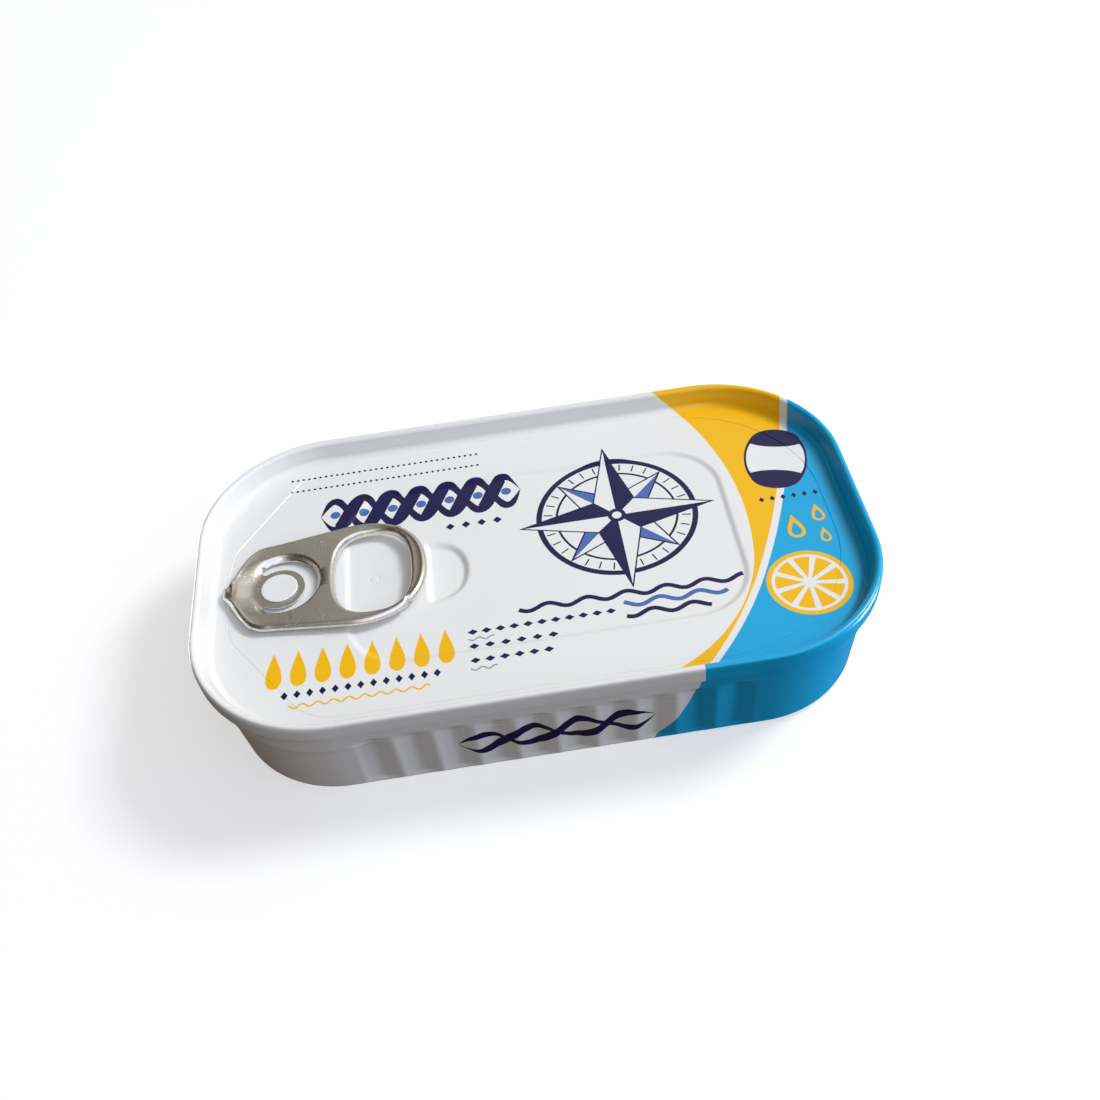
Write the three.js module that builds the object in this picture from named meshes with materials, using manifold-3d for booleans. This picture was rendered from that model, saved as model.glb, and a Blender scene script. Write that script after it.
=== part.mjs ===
// A shut two-piece sardine tin with a ring pull, in millimetres, +Z up.
// The origin is on the ground under the middle of the tin; the long side lies along X,
// and the ring pull is at the -X end.

import * as THREE from 'three';
import { mergeVertices } from 'three/addons/utils/BufferGeometryUtils.js';
import Module from 'manifold-3d';

// Driving dimensions: the double seam is the widest part of the tin.
const LENGTH = 106;
const WIDTH = 62;
const CORNER = 21;
const HEIGHT = 20.3;

// Double seam that folds the lid's edge round the body's flange.
const SEAM_HEIGHT = 3.1;
const SEAM_THICKNESS = 1.25;
const SEAM_ROUND = 0.55;
const SEAM_HEM = 0.3;

// Lid: a sunk panel inside the seam, with a shallower field, a finger well and a rivet.
const COUNTERSINK = 3.3;
const CHUCK_WALL_FOOT = 1.95;
const FOOT_RADIUS = 1.3;
const LID_THICKNESS = 1.4;
const FIELD = { length: 63.1, width: 37.6, radius: 9.5, x: 1.75, depth: 0.35, slope: 1.1 };
const WELL = { width: 7.2, height: 13.4, right: -9.7, depth: 0.7, slope: 1.2, bowX: 0.7, bowY: 0.85 };
const RIVET = { x: -39.9, stem: 1.8, head: 2.8, thickness: 0.5, bevel: 0.15 };

// Body: a drawn tray whose wall leans in towards the base, fluted on its long sides.
// A small step runs round it below the neck.
const NECK_INSET = 1.45;
const NECK_WALL = 0.35;
const STEP_INSET = 1.65;
const STEP_DEPTH = 0.4;
const STEP_TOP = HEIGHT - 8.1;
const BASE_INSET = 3.1;
const BASE_RADIUS = 1.5;
const LAND_WIDTH = 3.5;
const BASE_RECESS = 0.5;
const FLUTES = 10;
const FLUTE_PITCH = 6;
const FLUTE_DEPTH = 0.6;
const FLUTE_TOP = HEIGHT - 6.4;
const FLUTE_RUN_OUT = 1.1;

// Pull ring: a stamped tab held by the rivet, a little off the middle of the lid.
const TAB = { y: -0.5, nose: -48.9, shoulder: -41, heel: -28.5, end: -16.3 };
const TAB_HALF = { tip: 0.8, shoulder: 8.9, heel: 10.5 };
const NOSE_CURVE = { reach: 3, flare: 4.6 };
const END_CURVE = { reach: 7.5, swell: 0.6, fullness: 7 };
const TAB_THICKNESS = 1.25;
const TAB_EDGE = 0.4;
const TAB_LIFT = 0.45;
const ISLAND = { thickness: 0.6, noseLength: 3.2, noseHalf: 0.9 };
const FINGER_HOLE = { x: -25.1, halfLength: 6.6, halfWidth: 8.3, squareness: 2.6 };
const SLOT = { x: -38.8, radius: 5.6, islandRadius: 3.9, reach: THREE.MathUtils.degToRad(130) };
const RIVET_HOLE = 2.1;

// Play between pieces that touch each other on the real tin.
const GAP = 0.15;

// Steps of the curved stretches.
const CORNER_STEPS = 9;
const FLUTE_STEPS = 5;

const panelZ = HEIGHT - COUNTERSINK;
const lidUnderside = panelZ - LID_THICKNESS;
const seamBottom = HEIGHT - SEAM_HEIGHT;

// One closed outline of a rounded rectangle, counter-clockwise seen from above.
// Each long side has sidePoints(sign) between its two corners.
function roundedRectangle({ length, width, radius, x = 0, sidePoints = () => [] }, z) {
  const centreX = length / 2 - radius;
  const centreY = width / 2 - radius;
  const outline = [];
  const corner = (signX, signY, start) => {
    for (let step = 0; step <= CORNER_STEPS; step++) {
      const angle = start + (Math.PI / 2) * (step / CORNER_STEPS);
      outline.push([
        x + signX * centreX + radius * Math.cos(angle),
        signY * centreY + radius * Math.sin(angle),
        z,
      ]);
    }
  };
  const longSide = (signY) => {
    for (const [alongX, inwards] of sidePoints(signY)) {
      outline.push([x + alongX, signY * (width / 2 - inwards), z]);
    }
  };
  corner(1, 1, 0);
  longSide(1);
  corner(-1, 1, Math.PI / 2);
  corner(-1, -1, Math.PI);
  longSide(-1);
  corner(1, -1, Math.PI * 1.5);
  return outline;
}

// The tin's outline drawn in by inset at height z.
function tinOutline(inset, z, sidePoints) {
  const size = {
    length: LENGTH - 2 * inset,
    width: WIDTH - 2 * inset,
    radius: CORNER - inset,
    sidePoints,
  };
  return roundedRectangle(size, z);
}

// A closed skin through outlines with equal numbers of points, listed from the middle of
// the underside, out, up the outside and back in over the top. Both ends close flat.
function loft(outlines) {
  const count = outlines[0].length;
  const positions = outlines.flat(2);
  const triangles = [];
  for (let row = 0; row < outlines.length - 1; row++) {
    for (let i = 0; i < count; i++) {
      const next = (i + 1) % count;
      const [a, b] = [row * count + i, row * count + next];
      const [c, d] = [b + count, a + count];
      triangles.push(a, b, c, a, c, d);
    }
  }
  const lastRow = (outlines.length - 1) * count;
  const middle = (outline) => outline
    .reduce((sum, point) => sum.map((value, axis) => value + point[axis]), [0, 0, 0])
    .map((value) => value / count);
  const underCentre = outlines.length * count;
  positions.push(...middle(outlines[0]), ...middle(outlines.at(-1)));
  for (let i = 0; i < count; i++) {
    const next = (i + 1) % count;
    triangles.push(underCentre, next, i);
    triangles.push(underCentre + 1, lastRow + i, lastRow + next);
  }
  const geometry = new THREE.BufferGeometry();
  geometry.setAttribute('position', new THREE.Float32BufferAttribute(positions, 3));
  geometry.setIndex(triangles);
  return geometry;
}

const wasm = await Module();
wasm.setup();

// The closed mesh of a geometry, ready to be joined or cut.
function solid(geometry) {
  const bare = geometry.clone();
  bare.deleteAttribute('normal');
  bare.deleteAttribute('uv');
  const merged = mergeVertices(bare, 1e-4);
  const vertProperties = new Float32Array(merged.attributes.position.array);
  const triVerts = new Uint32Array(merged.index.array);
  return new wasm.Manifold(new wasm.Mesh({ numProp: 3, vertProperties, triVerts }));
}

function geometryOf(manifold) {
  const { vertProperties, triVerts } = manifold.getMesh();
  const geometry = new THREE.BufferGeometry();
  geometry.setAttribute('position', new THREE.BufferAttribute(vertProperties, 3));
  geometry.setIndex(new THREE.BufferAttribute(triVerts, 1));
  return geometry;
}

// Flutes are grooves pressed in side by side, as rounded waves with flat flanks.
function flutePoints(depth) {
  return (signY) => {
    const points = [];
    const steps = FLUTES * FLUTE_STEPS;
    for (let step = 0; step <= steps; step++) {
      const phase = (2 * Math.PI * step) / FLUTE_STEPS;
      const wave = (1 - (Math.cos(phase) + Math.cos(3 * phase) / 9) / (1 + 1 / 9)) / 2;
      const alongX = (step / FLUTE_STEPS - FLUTES / 2) * FLUTE_PITCH;
      points.push([-signY * alongX, depth * wave]);
    }
    return points;
  };
}

function buildBody() {
  const landOuter = BASE_INSET + BASE_RADIUS;
  const landInner = landOuter + LAND_WIDTH;
  const rimTop = seamBottom - GAP;
  const rimInset = NECK_INSET + NECK_WALL;
  const neckInset = (z) => THREE.MathUtils.mapLinear(z, STEP_TOP, rimTop, STEP_INSET, NECK_INSET);
  const fluteFull = FLUTE_TOP - FLUTE_RUN_OUT;
  const fillet = 1 - Math.SQRT1_2;
  const levels = [
    { inset: landInner + BASE_RECESS, z: BASE_RECESS, flute: 0 },
    { inset: landInner, z: 0, flute: 0 },
    { inset: landOuter, z: 0, flute: 0 },
    { inset: BASE_INSET + BASE_RADIUS * fillet, z: BASE_RADIUS * fillet, flute: FLUTE_DEPTH / 2 },
    { inset: BASE_INSET, z: BASE_RADIUS, flute: FLUTE_DEPTH },
    { inset: STEP_INSET + STEP_DEPTH, z: STEP_TOP - STEP_DEPTH, flute: FLUTE_DEPTH },
    { inset: STEP_INSET, z: STEP_TOP, flute: FLUTE_DEPTH },
    { inset: neckInset(fluteFull), z: fluteFull, flute: FLUTE_DEPTH },
    { inset: neckInset(FLUTE_TOP), z: FLUTE_TOP, flute: 0 },
    { inset: NECK_INSET, z: rimTop, flute: 0 },
    { inset: rimInset, z: rimTop, flute: 0 },
    { inset: rimInset, z: lidUnderside - GAP, flute: 0 },
  ];
  return loft(levels.map(({ inset, z, flute }) => tinOutline(inset, z, flutePoints(flute))));
}

// The seam's cross-section and the sunk wall inside it, down to the lid's panel.
function seamLevels() {
  const levels = [
    { inset: NECK_INSET + NECK_WALL + GAP, z: lidUnderside },
    { inset: NECK_INSET + NECK_WALL + GAP, z: seamBottom },
    { inset: SEAM_HEM, z: seamBottom },
    { inset: 0, z: seamBottom + SEAM_HEM },
  ];
  const roundSteps = 3;
  const quarter = (centreInset, start) => {
    for (let step = 0; step <= roundSteps; step++) {
      const angle = start + (Math.PI / 2) * (step / roundSteps);
      levels.push({
        inset: centreInset - SEAM_ROUND * Math.cos(angle),
        z: HEIGHT - SEAM_ROUND + SEAM_ROUND * Math.sin(angle),
      });
    }
  };
  quarter(SEAM_ROUND, 0);
  quarter(SEAM_THICKNESS - SEAM_ROUND, Math.PI / 2);
  const footSteps = 4;
  for (let step = 0; step <= footSteps; step++) {
    const angle = (Math.PI / 2) * (step / footSteps);
    levels.push({
      inset: CHUCK_WALL_FOOT + FOOT_RADIUS * (1 - Math.cos(angle)),
      z: panelZ + FOOT_RADIUS * (1 - Math.sin(angle)),
    });
  }
  return levels;
}

// The field is a rounded rectangle pressed down a little in the middle of the panel.
function fieldOutline(shrink, z) {
  const size = {
    length: FIELD.length - 2 * shrink,
    width: FIELD.width - 2 * shrink,
    radius: FIELD.radius - shrink,
    x: FIELD.x,
  };
  return roundedRectangle(size, z);
}

// The finger well is a D pressed into the field beside the ring's end: a tapered plug that
// reaches from above the panel down to the well's floor.
function wellPlug() {
  const floorZ = panelZ - WELL.depth - FIELD.depth / 2;
  const outline = (shrink, z) => {
    const points = [];
    const halfHeight = WELL.height / 2 - shrink;
    const left = WELL.right - WELL.width + shrink;
    const reach = WELL.width - 2 * shrink;
    const steps = 20;
    for (let step = 0; step <= steps; step++) {
      const angle = -Math.PI / 2 + Math.PI * (step / steps);
      points.push([
        left + reach * Math.cos(angle) ** WELL.bowX,
        TAB.y + halfHeight * Math.sign(angle) * Math.abs(Math.sin(angle)) ** WELL.bowY,
        z,
      ]);
    }
    return points;
  };
  return loft([outline(WELL.slope, floorZ), outline(0, panelZ - FIELD.depth), outline(0, HEIGHT)]);
}

// The rivet is drawn up out of the lid and its top is squashed into a flat head that holds
// the tab down.
function rivet(tabTop) {
  const root = panelZ - LID_THICKNESS / 2;
  const headBottom = tabTop + GAP;
  const headTop = headBottom + RIVET.thickness;
  const profile = [
    [0, root],
    [RIVET.stem, root],
    [RIVET.stem, headBottom],
    [RIVET.head, headBottom],
    [RIVET.head, headTop - RIVET.bevel],
    [RIVET.head - RIVET.bevel, headTop],
    [0, headTop],
  ].map(([radius, z]) => new THREE.Vector2(radius, z));
  const geometry = new THREE.LatheGeometry(profile, 28);
  geometry.rotateX(Math.PI / 2);
  geometry.translate(RIVET.x, TAB.y, 0);
  return geometry;
}

const islandTop = panelZ + TAB_LIFT + ISLAND.thickness;

function buildLid() {
  const outlines = seamLevels().map(({ inset, z }) => tinOutline(inset, z, () => []));
  outlines.push(fieldOutline(0, panelZ), fieldOutline(FIELD.slope, panelZ - FIELD.depth));
  const dish = solid(loft(outlines));
  return geometryOf(dish.subtract(solid(wellPlug())).add(solid(rivet(islandTop))));
}

// The tab seen from above: a blunt pointed nose, sides that widen a little and a round end.
// Bevelled edges grow the outline by the bevel, so it is drawn in by that much.
function tabShape() {
  const nose = TAB.nose + TAB_EDGE;
  const end = TAB.end - TAB_EDGE;
  const shoulder = TAB_HALF.shoulder - TAB_EDGE;
  const heel = TAB_HALF.heel - TAB_EDGE;
  const noseX = nose + NOSE_CURVE.reach;
  const endX = TAB.heel + END_CURVE.reach;
  const endY = heel + END_CURVE.swell;
  const shape = new THREE.Shape();
  shape.moveTo(nose, -TAB_HALF.tip);
  shape.bezierCurveTo(noseX, -NOSE_CURVE.flare, noseX, -shoulder, TAB.shoulder, -shoulder);
  shape.lineTo(TAB.heel, -heel);
  shape.bezierCurveTo(endX, -endY, end, -END_CURVE.fullness, end, 0);
  shape.bezierCurveTo(end, END_CURVE.fullness, endX, endY, TAB.heel, heel);
  shape.lineTo(TAB.shoulder, shoulder);
  shape.bezierCurveTo(noseX, shoulder, noseX, NOSE_CURVE.flare, nose, TAB_HALF.tip);
  shape.closePath();
  shape.holes.push(fingerHole(), rivetSlot());
  return shape;
}

function fingerHole() {
  const hole = new THREE.Path();
  const steps = 32;
  const power = 2 / FINGER_HOLE.squareness;
  const spread = (value) => Math.sign(value) * Math.abs(value) ** power;
  for (let step = 0; step < steps; step++) {
    const angle = (2 * Math.PI * step) / steps;
    const x = FINGER_HOLE.x + (FINGER_HOLE.halfLength + TAB_EDGE) * spread(Math.cos(angle));
    const y = (FINGER_HOLE.halfWidth + TAB_EDGE) * spread(Math.sin(angle));
    if (step === 0) {
      hole.moveTo(x, y);
    } else {
      hole.lineTo(x, y);
    }
  }
  hole.closePath();
  return hole;
}

// The slot frees the island that the rivet holds, so that the tab can bend there.
function rivetSlot() {
  const slot = new THREE.Path();
  slot.absarc(SLOT.x, 0, SLOT.radius, -SLOT.reach, SLOT.reach, false);
  slot.absarc(RIVET.x, 0, SLOT.islandRadius, SLOT.reach, -SLOT.reach, true);
  slot.closePath();
  return slot;
}

// A straight-sided block over a shape, from bottom up through the tab's top, used to cut it.
function block(shape, bottom) {
  const clearance = 1;
  const geometry = new THREE.ExtrudeGeometry(shape, {
    depth: TAB_THICKNESS + clearance - bottom,
    bevelEnabled: false,
    curveSegments: 20,
  });
  geometry.translate(0, 0, bottom);
  return solid(geometry);
}

function buildRing() {
  const geometry = new THREE.ExtrudeGeometry(tabShape(), {
    depth: TAB_THICKNESS - 2 * TAB_EDGE,
    bevelThickness: TAB_EDGE,
    bevelSize: TAB_EDGE,
    bevelSegments: 2,
    curveSegments: 18,
  });
  geometry.translate(0, 0, TAB_EDGE);

  const dish = new THREE.Shape();
  dish.absarc(SLOT.x, 0, SLOT.radius, -SLOT.reach, SLOT.reach, false);
  dish.lineTo(TAB.nose + ISLAND.noseLength, ISLAND.noseHalf);
  dish.lineTo(TAB.nose + ISLAND.noseLength, -ISLAND.noseHalf);
  dish.closePath();
  const hole = new THREE.Shape().absarc(RIVET.x, 0, RIVET_HOLE, 0, Math.PI * 2, false);

  const tab = solid(geometry)
    .subtract(block(dish, ISLAND.thickness))
    .subtract(block(hole, -TAB_THICKNESS));
  return geometryOf(tab);
}

// Finishes of the pieces.
const whiteLacquer = new THREE.MeshStandardMaterial({ color: 0xeceff2, roughness: 0.3, metalness: 0.1 });
const bareTinplate = new THREE.MeshStandardMaterial({ color: 0xa9a498, roughness: 0.35, metalness: 1 });

const body = new THREE.Mesh(buildBody(), whiteLacquer);
body.name = 'can_body';

const lid = new THREE.Mesh(buildLid(), whiteLacquer.clone());
lid.name = 'lid';

const ring = new THREE.Mesh(buildRing(), bareTinplate);
ring.name = 'pull_ring';
ring.position.set(0, TAB.y, panelZ + TAB_LIFT);

const tin = new THREE.Group();
tin.add(body, lid, ring);

export default tin;
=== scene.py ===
# A shut sardine tin: a fluted body and a sunk lid of printed tinplate, and a bare ring pull.
# Drawings are in millimetres in the frame's axes; meshes are in metres.

import math
import bmesh
import bpy
import numpy as np
from mathutils import Matrix, Vector
from mathutils.geometry import delaunay_2d_cdt


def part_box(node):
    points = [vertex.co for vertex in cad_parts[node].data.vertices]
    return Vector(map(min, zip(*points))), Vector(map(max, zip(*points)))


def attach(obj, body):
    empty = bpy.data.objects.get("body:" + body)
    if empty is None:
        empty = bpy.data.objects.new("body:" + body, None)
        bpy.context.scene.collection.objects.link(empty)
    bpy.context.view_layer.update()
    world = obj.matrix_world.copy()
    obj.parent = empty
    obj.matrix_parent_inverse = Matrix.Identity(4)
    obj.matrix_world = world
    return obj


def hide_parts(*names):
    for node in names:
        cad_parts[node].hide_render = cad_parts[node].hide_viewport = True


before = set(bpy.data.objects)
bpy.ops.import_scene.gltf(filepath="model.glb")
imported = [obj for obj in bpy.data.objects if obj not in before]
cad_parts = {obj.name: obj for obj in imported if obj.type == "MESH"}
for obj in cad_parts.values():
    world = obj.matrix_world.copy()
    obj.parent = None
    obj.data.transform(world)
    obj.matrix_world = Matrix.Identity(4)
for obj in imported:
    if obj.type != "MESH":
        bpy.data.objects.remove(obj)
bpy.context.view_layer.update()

MM = 0.001

# Sizes in millimetres. The outer ones are the frame's.
LID_LOW, LID_HIGH = [[value / MM for value in corner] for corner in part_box("lid")]
LENGTH = LID_HIGH[0] - LID_LOW[0]
WIDTH = LID_HIGH[1] - LID_LOW[1]
HEIGHT = LID_HIGH[2]
CORNER = 21.0
PATH_STEP = 0.4

SEAM_BOTTOM = HEIGHT - 3.1
SEAM_WIDTH = 1.32
SEAM_CREST = 0.5
SEAM_HEM = 0.3
PANEL_Z = HEIGHT - 3.3
FOOT_RADIUS = 1.3
FOOT_INSET = 3.25
UNDER_PANEL = PANEL_Z - LID_LOW[2] - 0.02

NECK_INSET = 1.45
STEP_INSET = 1.65
STEP_DEPTH = 0.4
STEP_TOP = HEIGHT - 8.1
BASE_INSET = 3.1
BASE_RADIUS = 1.5
FLUTE_PITCH = 6.0
FLUTE_REACH = 5 * FLUTE_PITCH
FLUTE_DEPTH = 0.6
FLUTE_TOP = HEIGHT - 6.2
FLUTE_RUN_OUT = 1.4

FIELD_DEPTH = 0.35
FIELD_SLOPE = 1.1
WELL_DEPTH = 0.7
WELL_SLOPE = 1.2
STAMP = (-25.0, -0.63)
STAMP_RADIUS = 0.75
STAMP_DEPTH = 0.05
SCORE_DEPTH = 0.08
SCORE_HALF = 0.09

RIVET = (-39.9, -0.55)
RIVET_HEAD = 2.9
RIVET_TOP = PANEL_Z + 1.0

TAB_Y = -0.3
TAB_BOTTOM, TAB_TOP = [corner[2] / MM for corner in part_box("pull_ring")]
TAB_ROLL = (TAB_TOP - TAB_BOTTOM) / 2
TAB_BEAD = 0.12
NOSE = -48.9
TAB_END = -16.3
TAB_RISE = 0.45
HOLE_ROLL = 0.64
ISLAND_DROP = 0.92
DISH_SLOPE = 0.95
# Where the nose starts to droop, and over what length it does.
DROOP_START = -46.4
DROOP_RUN = 2.4


# Drawing

def arc(centre, radius, start, end, spacing=0.3):
    """Points along an arc, both ends included; the angles are in degrees."""
    steps = max(2, math.ceil(abs(math.radians(end - start)) * radius / spacing))
    turns = [math.radians(start + (end - start) * step / steps) for step in range(steps + 1)]
    return [(centre[0] + radius * math.cos(turn), centre[1] + radius * math.sin(turn)) for turn in turns]


def bezier(start, handle_a, handle_b, end, steps=24):
    """Points along a curve, without its last one."""
    points = []
    for step in range(steps):
        t = step / steps
        weights = ((1 - t) ** 3, 3 * t * (1 - t) ** 2, 3 * t * t * (1 - t), t ** 3)
        corners = (start, handle_a, handle_b, end)
        points.append(tuple(sum(w * c[axis] for w, c in zip(weights, corners)) for axis in (0, 1)))
    return points


def round_corners(corners, radii, closed=True, spacing=0.3):
    """The line through corners, each rounded by its radius."""
    points = []
    count = len(corners)
    for i, (corner, radius) in enumerate(zip(corners, radii)):
        if radius == 0 or not closed and i in (0, count - 1):
            points.append(corner)
            continue
        here = Vector(corner)
        back = (Vector(corners[i - 1]) - here).normalized()
        ahead = (Vector(corners[(i + 1) % count]) - here).normalized()
        half = back.angle(ahead) / 2
        centre = here + (back + ahead).normalized() * (radius / math.sin(half))
        first = here + back * (radius / math.tan(half)) - centre
        turn = math.degrees(Vector((1, 0)).angle_signed(first)) * -1
        sweep = (180 - math.degrees(2 * half)) * (1 if back.cross(ahead) < 0 else -1)
        points += arc(centre, radius, turn, turn + sweep, spacing)
    return points


def rounded_rectangle(length, width, radius, middle=0.0):
    x, y = length / 2, width / 2
    corners = [(middle + x, -y), (middle + x, y), (middle - x, y), (middle - x, -y)]
    return round_corners(corners, [radius] * 4)


def circle(centre, radius, spacing=0.3):
    return arc(centre, radius, 0, 360, spacing)[:-1]


def superellipse(centre, half_x, half_y, squareness, steps):
    points = []
    for step in range(steps):
        turn = 2 * math.pi * step / steps
        c, s = math.cos(turn), math.sin(turn)
        power = 2 / squareness
        points.append((
            centre[0] + half_x * math.copysign(abs(c) ** power, c),
            centre[1] + half_y * math.copysign(abs(s) ** power, s),
        ))
    return points


def offset(outline, distance):
    """A counter-clockwise outline moved outwards by distance."""
    points = np.array(outline)
    ahead = np.roll(points, -1, axis=0) - points
    ahead /= np.linalg.norm(ahead, axis=1)[:, None]
    behind = np.roll(ahead, 1, axis=0)
    both = ahead + behind
    outwards = np.stack([both[:, 1], -both[:, 0]], axis=1)
    return points + distance * outwards / (1 + (ahead * behind).sum(axis=1))[:, None]


def signed_distance(points, outline):
    """Distance from each point to a closed outline, negative inside it."""
    start = np.array(outline)
    end = np.roll(start, -1, axis=0)
    side = end - start
    length = (side ** 2).sum(axis=1)
    distances = []
    for block in np.array_split(np.asarray(points, float), max(1, len(points) // 2000)):
        to_point = block[:, None, :] - start
        along = np.clip((to_point * side).sum(axis=2) / length, 0, 1)
        nearest = np.linalg.norm(to_point - along[:, :, None] * side, axis=2).min(axis=1)
        level = block[:, None, 1]
        crosses = (level >= start[:, 1]) != (level >= end[:, 1])
        left = to_point[:, :, 0] * side[:, 1] < to_point[:, :, 1] * side[:, 0]
        inside = (crosses & (left == (side[:, 1] > 0))).sum(axis=1) % 2 == 1
        distances.append(np.where(inside, -nearest, nearest))
    return np.concatenate(distances)


def ease(t):
    """Smooth rise from 0 at t = 0 to 1 at t = 1."""
    t = np.clip(t, 0, 1)
    return t * t * (3 - 2 * t)


def quarter_round(t):
    """Drop of a quarter round, from 0 at t = 0 to 1 at t = 1, where it's upright."""
    return 1 - np.sqrt(1 - np.clip(t, 0, 1) ** 2)


def cut_up(border, creases, shapes, filling=()):
    """Triangles inside border, cut along the creases and the shapes' outlines.
    Border and shapes run counter-clockwise. Returns the points, the triangles, for each triangle the
    last shape that holds it or None, and for each point the given points that it stands for."""
    points, edges, faces = [], [], []
    for number, loop in enumerate([border, *shapes, *creases]):
        first, count = len(points), len(loop)
        points += [Vector(point) for point in loop]
        if number <= len(shapes):
            faces.append(list(range(first, first + count)))
        else:
            edges += [(first + i, first + (i + 1) % count) for i in range(count)]
    points += [Vector(point) for point in filling]
    flat, _, triangles, sources, _, owners = delaunay_2d_cdt(points, edges, faces, 0, 1e-5)
    held = [(corners, max(owner) - 1) for corners, owner in zip(triangles, owners) if owner]
    triangles = [corners for corners, _ in held]
    holders = [None if number < 0 else number for _, number in held]
    return np.array([tuple(p) for p in flat]), triangles, holders, sources


def new_piece(name, mesh, *materials):
    piece = bpy.data.objects.new(name, mesh)
    bpy.context.collection.objects.link(piece)
    for material in materials:
        mesh.materials.append(material)
    return piece


def add(tree, kind, inputs=(), **settings):
    """Adds a node with its settings. Each input is a value, a socket, or a node for its first output."""
    node = tree.nodes.new(kind)
    for name, value in settings.items():
        setattr(node, name, value)
    for key, value in inputs.items() if isinstance(inputs, dict) else enumerate(inputs):
        source = value.outputs[0] if isinstance(value, bpy.types.Node) else value
        if isinstance(source, bpy.types.NodeSocket):
            tree.links.new(source, node.inputs[key])
        else:
            node.inputs[key].default_value = source
    return node


def maths(tree, operation, *inputs, **settings):
    """A sum, product or function of its inputs."""
    return add(tree, "ShaderNodeMath", inputs, operation=operation, **settings)


def remap(tree, *inputs, **settings):
    """Its inputs are a value, the two ends of its range and the two ends of the new range."""
    return add(tree, "ShaderNodeMapRange", inputs, **settings)


# Colours and finishes

# Strands of the plait and the wall band: their mean half width and how much it swells.
PLAIT_HALF = 0.9
PLAIT_SWELL = 0.35

# The band on the long walls: half its length, its middle, rise, period and end taper.
WALL_BAND_HALF = 15.0
WALL_BAND_MIDDLE = 7.6
WALL_BAND_RISE = 2.3
WALL_BAND_PERIOD = 15.0
WALL_BAND_TAPER = 4.0

# Each edge between the large fields is an upper and a lower arc, each its centre and radius,
# that meet at a height.
YELLOW_EDGE = (((-20.55, 2.5), 56), ((7.05, -2.23), 28), -7)
LINE_EDGE = (((-90.7, 51.6), 140), ((-28.5, 19.5), 70), -12.6)
LINE_WIDTH = 1.25
# How far the yellow's edge leans to the left for each millimetre up the rim.
YELLOW_LEAN = 0.75
# Where the front of the rim turns cyan.
RIM_CYAN = 21.9
# The front wall turns cyan along a curve through (WALL_CYAN, WALL_CYAN_LOW): it leans by
# WALL_CYAN_LEAN and bows by WALL_CYAN_BOW between the heights WALL_CYAN_LOW and WALL_CYAN_HIGH.
WALL_CYAN = 15.7
WALL_CYAN_LOW = 2.2
WALL_CYAN_HIGH = 10.5
WALL_CYAN_LEAN = 0.53
WALL_CYAN_BOW = 0.0177


def linear(hex_colour):
    """An sRGB hex colour as linear red, green, blue and alpha."""
    shares = [int(hex_colour[i:i + 2], 16) / 255 for i in (1, 3, 5)]
    return (*[s / 12.92 if s <= 0.04045 else ((s + 0.055) / 1.055) ** 2.4 for s in shares], 1.0)


WHITE_ENAMEL = "#EBEBE9"
YELLOW_INK = "#F6BC00"
CYAN_INK = "#00A8DC"
NAVY_INK = "#0E0A48"
MID_BLUE_INK = "#4C6CAE"
GREY_INK = "#9A9BA8"


def new_material(name):
    material = bpy.data.materials.new(name)
    material.use_nodes = True
    material.node_tree.nodes.clear()
    return material, material.node_tree


def millimetres(tree):
    """The surface's own place in the frame, in millimetres, as x, y and z sockets and the vector."""
    place = add(tree, "ShaderNodeTexCoord").outputs["Object"]
    scaled = add(tree, "ShaderNodeVectorMath", [place, (1000, 1000, 1000)], operation="MULTIPLY")
    axes = add(tree, "ShaderNodeSeparateXYZ", [scaled])
    return axes.outputs["X"], axes.outputs["Y"], axes.outputs["Z"], scaled.outputs[0]


def noise(tree, place, scale, detail, roughness=0.5):
    return add(tree, "ShaderNodeTexNoise", {"Vector": place, "Scale": scale, "Detail": detail,
                                            "Roughness": roughness})


def lacquer_finish(tree, colour, place):
    """Roller-coated polyester lacquer, baked on flat tinplate: gloss with faint orange peel,
    handling smudges that dull it here and there, and a slight mottle in the ink."""
    mottle = noise(tree, place, 0.06, 2.0)
    shade = remap(tree, mottle, 0.0, 1.0, 0.975, 1.0)
    tinted = add(tree, "ShaderNodeMix", {0: 1.0, 6: colour, 7: shade}, data_type="RGBA",
                 blend_type="MULTIPLY")
    smudge = noise(tree, place, 0.12, 2.0)
    dull = remap(tree, smudge, 0.35, 0.75, 0.23, 0.27)
    peel = noise(tree, place, 0.7, 1.0)
    bump = add(tree, "ShaderNodeBump", {"Strength": 0.05, "Distance": 0.00003, "Height": peel})
    shader = add(tree, "ShaderNodeBsdfPrincipled", {
        "Base Color": tinted.outputs[2],
        "Roughness": dull,
        "Normal": bump,
        "IOR": 1.5,
    })
    add(tree, "ShaderNodeOutputMaterial", {"Surface": shader})


def beyond_arc(tree, x, y, centre, radius):
    """How far x lies to the right of a circle's right-hand side."""
    up = maths(tree, "SUBTRACT", y, centre[1])
    squared = maths(tree, "MULTIPLY", up, up)
    chord = maths(tree, "SUBTRACT", radius ** 2, squared)
    reach = maths(tree, "SQRT", chord)
    edge = maths(tree, "ADD", reach, centre[0])
    return maths(tree, "SUBTRACT", x, edge)


def beyond_curve(tree, x, y, upper, lower, join):
    """The same for an edge of two arcs that meet at height join."""
    above = maths(tree, "GREATER_THAN", y, join)
    low, high = (beyond_arc(tree, x, y, *part) for part in (lower, upper))
    return add(tree, "ShaderNodeMix", {0: above, 2: low, 3: high})


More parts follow.
